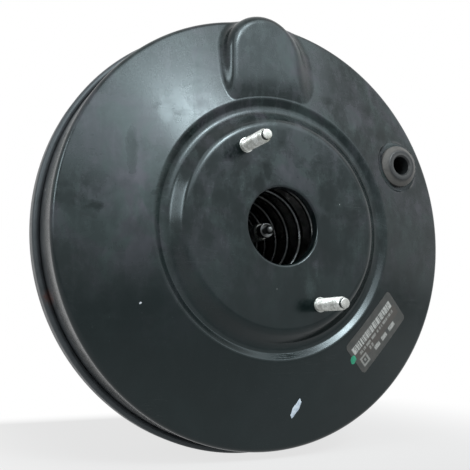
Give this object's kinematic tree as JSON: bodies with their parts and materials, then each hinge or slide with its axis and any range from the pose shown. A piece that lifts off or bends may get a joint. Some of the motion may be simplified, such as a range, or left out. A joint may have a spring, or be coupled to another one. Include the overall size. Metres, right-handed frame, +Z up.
{
  "type": "brake booster",
  "caption": "Round vacuum brake booster: pressed shells crimped at the rim, studs front and rear, vacuum inlet, bellows boot and a pushrod with clevis.",
  "frame": {"origin": "on the booster's axis, in the plane of the rear face that sits on the bulkhead", "axes": "+Y along the axis to the pedal side, -Y to the master cylinder side, +Z up through the pod, +X to the side of the vacuum inlet"},
  "size_m": [0.278, 0.3075, 0.278],
  "materials": {
    "shell_paint": "satin gloss black paint",
    "plate_steel": "bare pressed steel",
    "zinc_plate": "dull zinc plating",
    "spring_steel": "oiled spring wire",
    "grommet_rubber": "smooth moulded rubber",
    "boot_rubber": "matt moulded rubber",
    "seal_rubber": "matt rubber",
    "phenolic": "moulded phenolic",
    "nylon": "moulded nylon",
    "foam": "open cell foam",
    "aluminium": "turned"
  },
  "bodies": {
    "shell": {"front_shell": "shell_paint", "rear_shell": "shell_paint", "front_stud_plate": "plate_steel", "front_studs": "zinc_plate", "rear_stud_plate": "plate_steel", "rear_studs": "zinc_plate", "vacuum_grommet": "grommet_rubber", "neck_bearing": "nylon", "neck_seal": "seal_rubber", "seal_retainer": "zinc_plate", "return_spring": "spring_steel", "dust_boot": "boot_rubber", "diaphragm": "seal_rubber"},
    "power_piston": {"diaphragm_plate": "plate_steel", "valve_body": "phenolic", "reaction_disc": "seal_rubber", "output_rod": "zinc_plate", "output_rod_tip": "zinc_plate", "output_rod_retainer": "spring_steel", "poppet_valve": "seal_rubber", "poppet_retainer": "zinc_plate", "poppet_spring": "spring_steel", "rod_spring": "spring_steel", "silencer": "foam", "air_filter": "foam"},
    "plunger": {"valve_plunger": "aluminium", "stop_key": "zinc_plate"},
    "pushrod": {"input_rod": "zinc_plate", "lock_nut": "zinc_plate", "clevis": "zinc_plate"}
  },
  "joints": [
    {"name": "power_piston_slide", "type": "slide", "parent": "shell", "child": "power_piston", "axis": [0, -1, 0], "range_m": [0, 0.036], "stiffness_N_per_m": 3000, "springref_m": -0.03, "deforming": ["return_spring", "dust_boot", "diaphragm"]},
    {"name": "valve_plunger_slide", "type": "slide", "parent": "power_piston", "child": "plunger", "axis": [0, -1, 0], "range_m": [0, 0.0015], "stiffness_N_per_m": 1500, "springref_m": -0.01, "deforming": ["rod_spring"]},
    {"name": "input_rod_tilt", "type": "hinge", "parent": "plunger", "child": "pushrod", "pos_m": [0, 0.006, 0], "axis": [1, 0, 0], "range_deg": [-3, 3], "stiffness_Nm_per_rad": 12}
  ]
}
